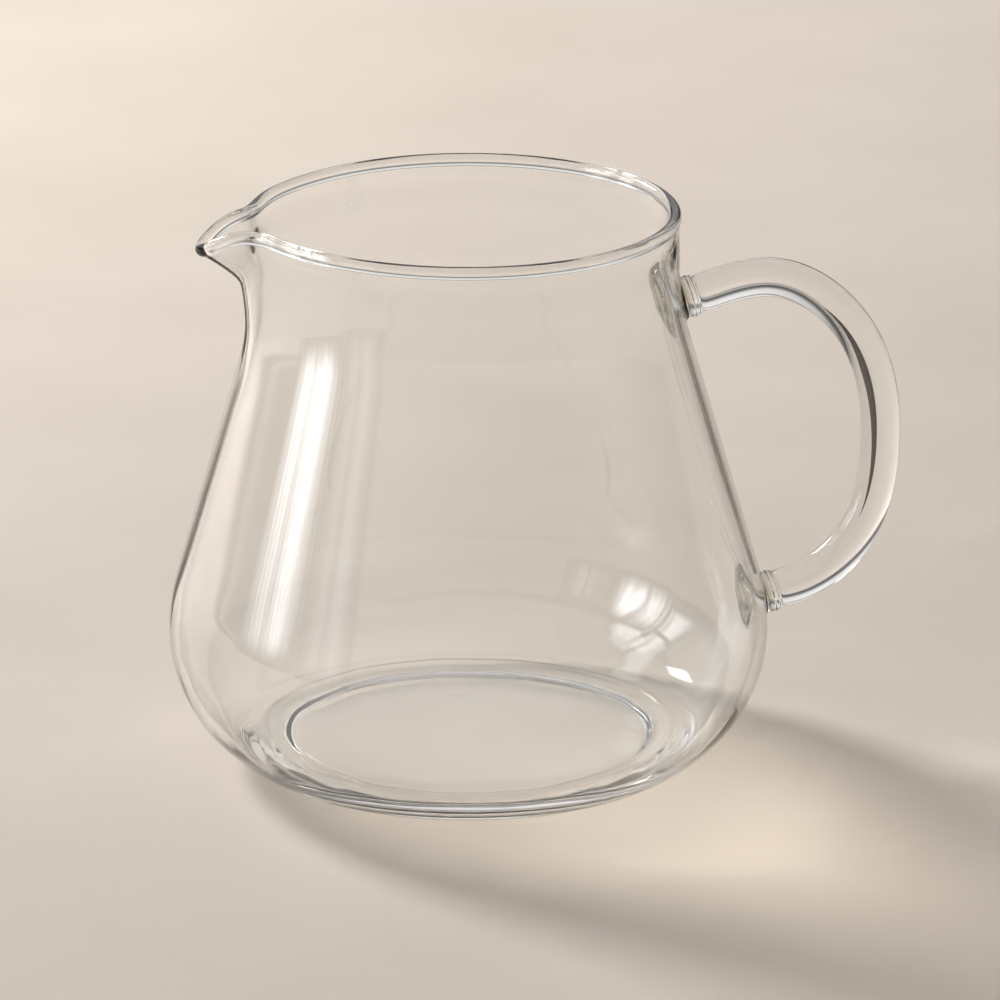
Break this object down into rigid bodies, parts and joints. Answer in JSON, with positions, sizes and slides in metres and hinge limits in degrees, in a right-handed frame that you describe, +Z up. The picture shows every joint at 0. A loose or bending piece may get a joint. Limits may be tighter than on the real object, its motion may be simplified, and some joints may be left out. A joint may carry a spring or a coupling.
{
  "type": "coffee server",
  "caption": "Clear glass coffee server: a round-bellied jug with a pulled pouring lip and a solid glass loop handle.",
  "frame": {"origin": "centre of the base's standing ring, on the jug's axis, at the level of the table", "axes": "+Z up along the jug's axis, +X towards the handle, -X towards the pouring lip; the XZ plane is the plane of symmetry"},
  "size_m": [0.1423, 0.115, 0.1087],
  "materials": {
    "vessel_glass": "clear, fire-polished, thin blown wall",
    "rod_glass": "clear, fire-polished, solid"
  },
  "bodies": {
    "root": {"vessel": "vessel_glass", "handle_rod": "rod_glass", "upper_handle_foot": "rod_glass", "lower_handle_foot": "rod_glass"}
  },
  "joints": []
}
